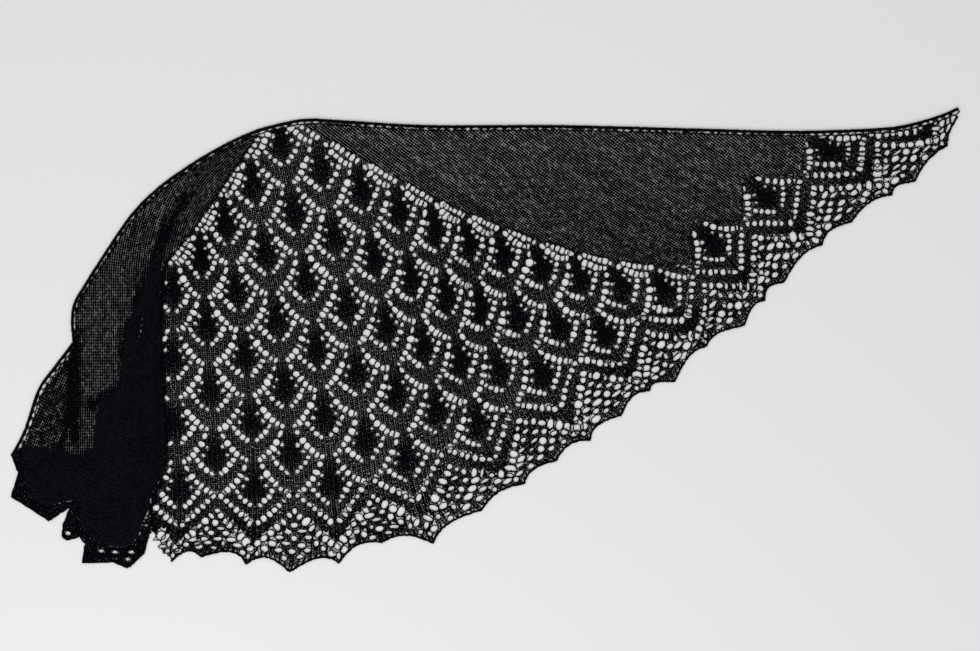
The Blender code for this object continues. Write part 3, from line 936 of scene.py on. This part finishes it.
WING_SPARE = 1.8
wing_rim = np.concatenate([rings["right_wing"], rings["right_wing"][:1]])
wing_rows = []
for number in WING_NUMBERS:
    last = math.ceil(number * WING_ROW / WING_WALE)
    first = last - math.ceil((wale_drift[-1] + row_drift[-1]) / WING_WALE)
    points, width = plain_row(number, first, last, wing_place)
    owner = owners(points[:, :2])
    spare = (owner >= 0) & (distance_to(points[:, :2], wing_rim) < WING_SPARE)
    owner[spare] = ring_names.index("right_wing")
    for a, b in runs(owner, ring_names.index("right_wing")):
        wing_rows.append(Strand(points[a:b], width[a:b]))
wing_wool = wool_finish("wing_wool")
piece = wound("right_wing_rows", wing_rows, wing_wool)
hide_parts("right_wing")
cut_size("right_wing", 0.2)

# The neck border. It is a narrow firm edge of a few stitches, worked along with every row, with an
# eyelet every third row beside it. It runs round the whole neck edge, from tip to tip.
BORDER_STITCH = 3.7
BORDER_STEPS = 3
BORDER_WAVE = 0.35
BORDER_WANDER = 0.2
BORDER_LIFT = 0.2
BORDER_THIN = 0.4
BORDER_EYELET_EVERY = 11.2
BORDER_EYELET_IN = 5.4
BORDER_EYELET_SIZE = (2.1, 3.9)
BORDER_EYELET_ENDS = (8.0, 6.0)
BORDER_EYELET_ALONG = 0.8
BORDER_EYELET_WANDER = 0.3
BORDER_EYELET_SPREAD = 0.15

# One strand of the border: how far in from the edge, how thick and how high it lies.
BORDER_STRANDS = (
    (0.8, 2.0, 1.3),
    (2.0, 2.0, 1.7),
    (3.2, 1.8, 1.2),
    (4.4, 1.5, 0.9),
    (5.9, 1.4, 0.8),
    (7.0, 1.5, 0.8),
)


def even_line(points, step):
    """The line's points at even steps, and the direction to its left at each."""
    points = smoothed(points, 8)
    far = np.concatenate([[0], np.cumsum(np.linalg.norm(np.diff(points, axis=0), axis=1))])
    at = np.arange(0, far[-1], step)
    even = np.stack([np.interp(at, far, points[:, i]) for i in (0, 1)], axis=1)
    ahead = np.gradient(even, axis=0)
    reach = max(3, int(12 / step))
    kernel = np.ones(reach) / reach
    padded = np.pad(ahead, ((reach // 2, reach - 1 - reach // 2), (0, 0)), "edge")
    ahead = np.stack([np.convolve(padded[:, i], kernel, "valid") for i in (0, 1)], axis=1)
    ahead /= np.linalg.norm(ahead, axis=1, keepdims=True)
    return at, even, ahead, np.stack([-ahead[:, 1], ahead[:, 0]], axis=1)


def firm_border(line, seed):
    """The strands of a firm border along a line, with its eyelets opened."""
    chance = np.random.default_rng(seed)
    step = BORDER_STITCH / BORDER_STEPS
    at, even, ahead, inwards = even_line(line, step)
    middles = np.arange(BORDER_EYELET_ENDS[0], at[-1] - BORDER_EYELET_ENDS[1], BORDER_EYELET_EVERY)
    middles += chance.normal(0, BORDER_EYELET_ALONG, len(middles))
    index = np.clip((middles / step).astype(int), 0, len(at) - 1)
    wander = chance.normal(0, BORDER_EYELET_WANDER, (len(index), 2))
    table = {
        "middle": even[index] + BORDER_EYELET_IN * inwards[index] + wander,
        "line": ahead[index],
        "ahead": inwards[index],
        "size": np.array(BORDER_EYELET_SIZE) * chance.normal(1, BORDER_EYELET_SPREAD, (len(index), 2)),
        "row": np.full(len(index), BORDER_EYELET_IN),
    }
    turn = 2 * math.pi * at / BORDER_STITCH
    found = []
    for inset, yarn, height in BORDER_STRANDS:
        wave = BORDER_WAVE * np.cos(turn + chance.uniform(0, 6)) + chance.normal(0, BORDER_WANDER, len(at))
        points, thin, _ = opened(even + (inset + wave)[:, None] * inwards, inset, table)
        lift = height + BORDER_LIFT * np.sin(turn)
        width = yarn * (1 - BORDER_THIN + BORDER_THIN * thin)
        found.append(Strand(np.column_stack([points, lift]), width))
    return found


border_wool = wool_finish("border_wool")
piece = wound("neck_border_rows", firm_border(NECK, 41), border_wool)
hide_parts("neck_border")
border_length, border_width = cut_size("neck_border", EDGE_STRIP * MM)
border_length * border_width

# The left wing. It is the same stocking stitch, but there the wales follow the neck edge round, and
# towards the gathers the cloth rises into soft folds. Along some of them it lies double.
Mound = namedtuple("Mound", "x y across along height")
MOUNDS = tuple(Mound(*row) for row in (
    (-490, -100, 34, 120, 11.0),
    (-500, -210, 50, 60, 6.0),
    (-590, -195, 50, 30, 8.0),
    (-540, 20, 40, 90, 3.0),
    (-481, 4, 8, 36, -10.0),
))
Ridge = namedtuple("Ridge", "from_x from_y to_x to_y width height")
RIDGES = tuple(Ridge(*row) for row in (
    (-446, 148, -459, 60, 8, 5.0),
    (-461, 50, -463, -190, 9, 5.0),
    (-474, 90, -480, 20, 8, 4.0),
    (-483, 0, -484, -240, 9, 5.5),
    (-503, 10, -505, -90, 8, 5.0),
    (-508, -100, -512, -270, 10, 5.0),
    (-532, -100, -536, -270, 9, 4.0),
    (-558, -172, -562, -210, 8, 3.0),
    (-574, -10, -580, -130, 7, 3.5),
    (-585, -168, -645, -196, 9, 3.5),
    (-578, -200, -640, -222, 8, 3.0),
    (-520, 120, -560, 30, 14, 2.5),
    (-470, 160, -520, 80, 14, 2.0),
))
FOLDED = {"left_gather": 1.0, "left_wing": 0.55, "under_flap": 0.3}
ROLL = 12.0
LEFT_STITCH = 6.2
LEFT_ROW = 4.1
LEFT_MIDDLE = (-218.0, 83.0)
LEFT_OUTER = 375.0
LEFT_ROW_REACH = 322.0
LEFT_NUMBERS = range(-120, 70)
LEFT_STITCHES = 40
DOUBLE = tuple(Ridge(*row) for row in (
    (-420, 200, -447, 150, 8, 0.3),
    (-447, 150, -484, 55, 7, 0.4),
    (-484, 55, -506, -20, 6, 0.5),
    (-574, 0, -576, -140, 6, 0.7),
    (-516, -76, -552, -92, 6, 0.7),
))
SPARE = 3.0
FOLD_SIDE_YARN = 2.44
FLAP_YARN = 2.8


def swell(points):
    """How far the folds lift the cloth above a flat layer."""
    x, y = np.asarray(points, float).T
    lift = np.zeros(len(x))
    for mound in MOUNDS:
        away = ((x - mound.x) / mound.across) ** 2 + ((y - mound.y) / mound.along) ** 2
        lift += mound.height * np.exp(-away)
    for ridge in RIDGES:
        line = ((ridge.from_x, ridge.from_y), (ridge.to_x, ridge.to_y))
        lift += ridge.height * np.exp(-((distance_to(points, line) / ridge.width) ** 2))
    return np.maximum(lift, 0)


def folded_lift(name, points):
    """The height of the folds of one stretch of cloth, which ends at its open edges."""
    edges = [smoothed(FOLD, 2), LEFT_HEM, UNDER_EDGE, smoothed(NECK, 3)]
    edges += [TURN] if name == "left_wing" else []
    near = np.min([distance_to(points, line) for line in edges], axis=0)
    return FOLDED[name] * swell(points) * eased(near / ROLL)


def left_place(stitch, row):
    """The point of a stitch and a row in the left wing, whose wales bend round, then run down."""
    reach = LEFT_OUTER - stitch * LEFT_STITCH
    turn = np.minimum(row, 0) * LEFT_ROW / LEFT_ROW_REACH
    x = LEFT_MIDDLE[0] - reach * np.cos(turn)
    y = LEFT_MIDDLE[1] - reach * np.sin(turn) - np.maximum(row, 0) * LEFT_ROW
    return np.stack([x, y], axis=-1)


def folded_rows(name, laid, numbers, stitches, yarn, beside=None):
    """The rows of stocking stitch of one folded stretch, which reach a little past its outline."""
    found = []
    rim = np.concatenate([rings[name], rings[name][:1]])
    for number in numbers:
        points, width = plain_row(number, 0, stitches, laid, yarn)
        for band in DOUBLE:
            line = ((band.from_x, band.from_y), (band.to_x, band.to_y))
            away = distance_to(points[:, :2], line) / band.width
            width = width * (1 + band.height * np.exp(-(away**2)))
        owner = owners(points[:, :2])
        spare = (owner >= 0) & (distance_to(points[:, :2], rim) < SPARE)
        owner[spare] = ring_names.index(name)
        if beside:
            owner[distance_to(points[:, :2], beside) < EDGE_STRIP] = -1
        for a, b in runs(owner, ring_names.index(name)):
            points[a:b, 2] += folded_lift(name, points[a:b, :2])
            found.append(Strand(points[a:b], width[a:b]))
    return found


fold_wool = wool_finish("fold_wool")
left_rows = folded_rows("left_wing", left_place, LEFT_NUMBERS, LEFT_STITCHES, FOLD_SIDE_YARN)
piece = wound("left_wing_rows", left_rows, fold_wool)
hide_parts("left_wing")
cut_size("left_wing", 0.08)

# The flap under the left wing. It is the neck side of the same plain cloth, turned under where the
# wing folds, with the firm border along its outer edge.
flap_wool = wool_finish("flap_wool")
FLAP_TURN = math.radians(-24)
FLAP_START = -40
FLAP_NUMBERS = range(-10, 50)
FLAP_STITCHES = 30
FLAP_LAYERS = 1.5


def flap_place(stitch, row):
    """The point of a stitch and a row in the flap, whose wales follow its outer edge."""
    across = stitch * LEFT_STITCH + FLAP_START
    down = row * LEFT_ROW
    x = UNDER_EDGE[0][0] + across * math.cos(FLAP_TURN) + down * math.sin(FLAP_TURN)
    y = UNDER_EDGE[0][1] + across * math.sin(FLAP_TURN) - down * math.cos(FLAP_TURN)
    return np.stack([x, y], axis=-1)


flap_rows = folded_rows("under_flap", flap_place, FLAP_NUMBERS, FLAP_STITCHES, FLAP_YARN, UNDER_EDGE)
piece = wound("under_flap_rows", flap_rows + firm_border(UNDER_EDGE, 62), flap_wool)
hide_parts("under_flap")
cut_size("under_flap", 0.045, FLAP_LAYERS)

# The gathered end. The left part of the lace is drawn together into a heap of close folds, several
# layers thick, so that it is nearly solid black and shows its stitches only as a faint grain. That
# grain is painted into the wool's colour: painted highlights as light specks, painted shade between.
GATHER_GRAIN = 3.5
GRID_TIGHT = 0.9
GRID_CLEAR = 0.4
WELD = 0.02


def eyelet_group(chart):
    """The table of a few loose eyelets, each charted as its place, across and along, in millimetres."""
    chart = np.array(chart, float)
    return {
        "middle": chart[:, :2],
        "size": chart[:, 2:],
        "row": chart[:, 1],
        "line": np.tile((1.0, 0.0), (len(chart), 1)),
        "ahead": np.tile((0.0, 1.0), (len(chart), 1)),
    }


def eyelet_rings(table, corners):
    """The outline of each eyelet of a table."""
    turn = 2 * math.pi * np.arange(corners) / corners
    return [
        middle + np.column_stack([size[1] * np.cos(turn), size[0] * np.sin(turn)])
        for middle, size in zip(table["middle"], table["size"])]


def flat_triangles(ring, holes, loose):
    """The triangles of a ring with holes, filled with loose points."""
    points = [Vector(p) for p in loose]
    edges = []
    for line in [ring] + holes:
        start = len(points)
        points += [Vector(p) for p in line]
        edges += [(start + i, start + (i + 1) % len(line)) for i in range(len(line))]
    found = delaunay_2d_cdt(points, edges, [], 0, WELD, False)
    plan = np.array([tuple(p) for p in found[0]])
    triangles = np.array(found[2])
    middles = plan[triangles].mean(axis=1)
    solid = inside(middles, ring)
    for hole in holes:
        solid &= ~inside(middles, hole)
    return plan, triangles[solid]


def closed_cloth(name, ring, holes, height_at, grain, wool):
    """A closed heap of cloth over a ring, with this height at each point and a flat underside."""
    ring = np.asarray(ring, float)
    rim = np.concatenate([ring, ring[:1]])
    far = np.concatenate([[0], np.cumsum(np.linalg.norm(np.diff(rim, axis=0), axis=1))])
    at = np.arange(0, far[-1] - grain / 2, grain)
    ring = np.stack([np.interp(at, far, rim[:, i]) for i in (0, 1)], axis=1)
    low, high = ring.min(axis=0), ring.max(axis=0)
    grid_x = np.arange(low[0], high[0], grain * GRID_TIGHT)
    grid = np.stack(np.meshgrid(grid_x, np.arange(low[1], high[1], grain)), axis=-1)
    grid[1::2, :, 0] += grain * GRID_TIGHT / 2
    grid = grid.reshape(-1, 2)
    grid = grid[inside(grid, ring)]
    for line in [ring] + holes:
        grid = grid[distance_to(grid, np.concatenate([line, line[:1]])) > grain * GRID_CLEAR]
    plan, triangles = flat_triangles(ring, holes, grid)
    ends = np.concatenate([triangles[:, [0, 1]], triangles[:, [1, 2]], triangles[:, [2, 0]]])
    known = {tuple(edge) for edge in ends}
    open_edges = [tuple(edge) for edge in ends if (edge[1], edge[0]) not in known]
    top = height_at(plan)
    count = len(plan)
    upper = np.column_stack([plan, top])
    lower = np.column_stack([plan, np.zeros(count)])
    faces = [tuple(t) for t in triangles]
    faces += [(c + count, b + count, a + count) for a, b, c in triangles]
    faces += [(b, a, a + count, b + count) for a, b in open_edges]
    mesh = bpy.data.meshes.new(name)
    mesh.from_pydata((np.concatenate([upper, lower]) * MM).tolist(), [], faces)
    mesh.polygons.foreach_set("use_smooth", [True] * len(mesh.polygons))
    mesh.materials.append(wool)
    piece = bpy.data.objects.new(name, mesh)
    bpy.context.collection.objects.link(piece)
    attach(piece, "root")
    return piece


HEAP_EYELETS = (
    (-479.5, 36.0, 1.3, 0.9), (-480.5, 29.5, 1.6, 1.0), (-481.5, 20.0, 1.4, 0.9), (-482.5, 12.0, 1.9, 1.3),
    (-484.5, 4.0, 1.6, 1.2), (-486.0, -4.0, 1.8, 1.2), (-486.5, -11.0, 1.8, 1.3), (-488.0, -18.5, 1.6, 1.1),
    (-472.5, 22.0, 1.1, 0.8), (-474.0, 6.0, 1.2, 0.8),
)
GATHER_YARN = 1.9
GATHER_ROW = 3.0
GATHER_STITCH = 5.0
GATHER_STEPS = 3
GATHER_TILT = 0.22
GATHER_LIFT = 0.5
GATHER_FOOT = 1.2
GATHER_LOOP = 0.55
GATHER_LOOP_LIFT = 0.2
GATHER_WANDER = (0.35, 0.3)
GATHER_UNEVEN = 0.15
GATHER_WIDTHS = (0.6, 1.5)


def draped_rows(name, height_at, tilt, row_height, yarn, seed, table):
    """Rows of loops laid over a stretch of cloth, at a height above it, with its eyelets opened."""
    ring = np.asarray(rings[name], float)
    low, high = ring.min(axis=0), ring.max(axis=0)
    reach = high[0] - low[0]
    chance = np.random.default_rng(seed)
    table = dict(table, row=table["middle"][:, 1] - tilt * (table["middle"][:, 0] - low[0]))
    found = []
    for y in np.arange(low[1] - reach * tilt, high[1] + reach * tilt, row_height):
        along = np.arange(0, reach, GATHER_STITCH / GATHER_STEPS)
        turn = 2 * math.pi * along / GATHER_STITCH + chance.uniform(0, 6)
        x = low[0] + along + chance.normal(0, GATHER_WANDER[0], len(along))
        up = y + tilt * along + GATHER_LOOP * row_height * np.cos(turn)
        up += chance.normal(0, GATHER_WANDER[1], len(along))
        points = np.column_stack([x, up])
        owner = owners(points)
        points, thin, _ = opened(points, y, table)
        width = yarn * thin * np.clip(chance.normal(1, GATHER_UNEVEN, len(points)), *GATHER_WIDTHS)
        for a, b in runs(owner, ring_names.index(name)):
            height = height_at(points[a:b]) + GATHER_LOOP_LIFT * np.sin(turn[a:b])
            found.append(Strand(np.column_stack([points[a:b], height]), width[a:b]))
    return found


# The gathered wool: its lighter colour and strong speckle contrast paint highlights on the strand tops and
# shade between them, over the wool's own fibre tone.
GATHER_FIBRE_AND_GLINT_COLOUR = (0.0095, 0.0085, 0.0135, 1.0)
GATHER_FIBRE = 2.0 * MM
GATHER_PAINTED_GLINT_CONTRAST = 6.5
gather_wool = wool_finish("gather_wool", GATHER_FIBRE_AND_GLINT_COLOUR, GATHER_FIBRE, GATHER_PAINTED_GLINT_CONTRAST)
heap_eyelets = eyelet_group(HEAP_EYELETS)
heap = closed_cloth(
    "gathered_folds", rings["left_gather"], eyelet_rings(heap_eyelets, 8),
    lambda plan: GATHER_FOOT + folded_lift("left_gather", plan), GATHER_GRAIN, gather_wool)
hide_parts("left_gather")
over_heap = draped_rows(
    "left_gather", lambda points: GATHER_FOOT + GATHER_LIFT + folded_lift("left_gather", points),
    GATHER_TILT, GATHER_ROW, GATHER_YARN, 71, heap_eyelets)
piece = wound("gathered_rows", over_heap, gather_wool)
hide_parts("left_gather")
cut_size("left_gather", 0.09)

# The hem of the gathered end. Its scalloped edge lies as one thin layer of rows out of the heap's
# foot, with a few eyelets that show through and the cast-off cord round it.
HOOPS = (
    (-538.3, -296.1, 2.8, 4.2), (-518.7, -297.5, 2.8, 4.0), (-496.0, -297.5, 2.8, 4.4),
    (-500.5, -308.0, 3.4, 3.0), (-584.5, -270.9, 3.6, 3.8), (-474.5, -243.0, 2.0, 2.6),
    (-475.5, -250.5, 2.0, 2.6), (-475.0, -260.0, 2.2, 2.4), (-646.5, -172.0, 1.5, 1.8),
)
HEM_ROW = 2.2
HEM_YARN = 2.9
HEM_LAYERS = 1.4
LEFT_CORD_WANDER = 0.4
end_wool = wool_finish("end_wool")
hem_layers = draped_rows(
    "left_edging", lambda points: np.full(len(points), CLOTH_MIDDLE), 0.0, HEM_ROW, HEM_YARN, 81,
    eyelet_group(HOOPS))
left_cord = np.concatenate([np.linspace(a, b, 6)[:-1] for a, b in zip(LEFT_HEM[:-1], LEFT_HEM[1:])])
left_cord += np.random.default_rng(83).normal(0, LEFT_CORD_WANDER, left_cord.shape)
left_cord = np.column_stack([left_cord, np.full(len(left_cord), CLOTH_MIDDLE)])
hem_layers.append(Strand(left_cord, np.full(len(left_cord), CAST_OFF_YARN)))
piece = wound("gathered_hem_rows", hem_layers, end_wool)
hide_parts("left_edging")
cut_size("left_edging", 0.025, HEM_LAYERS)
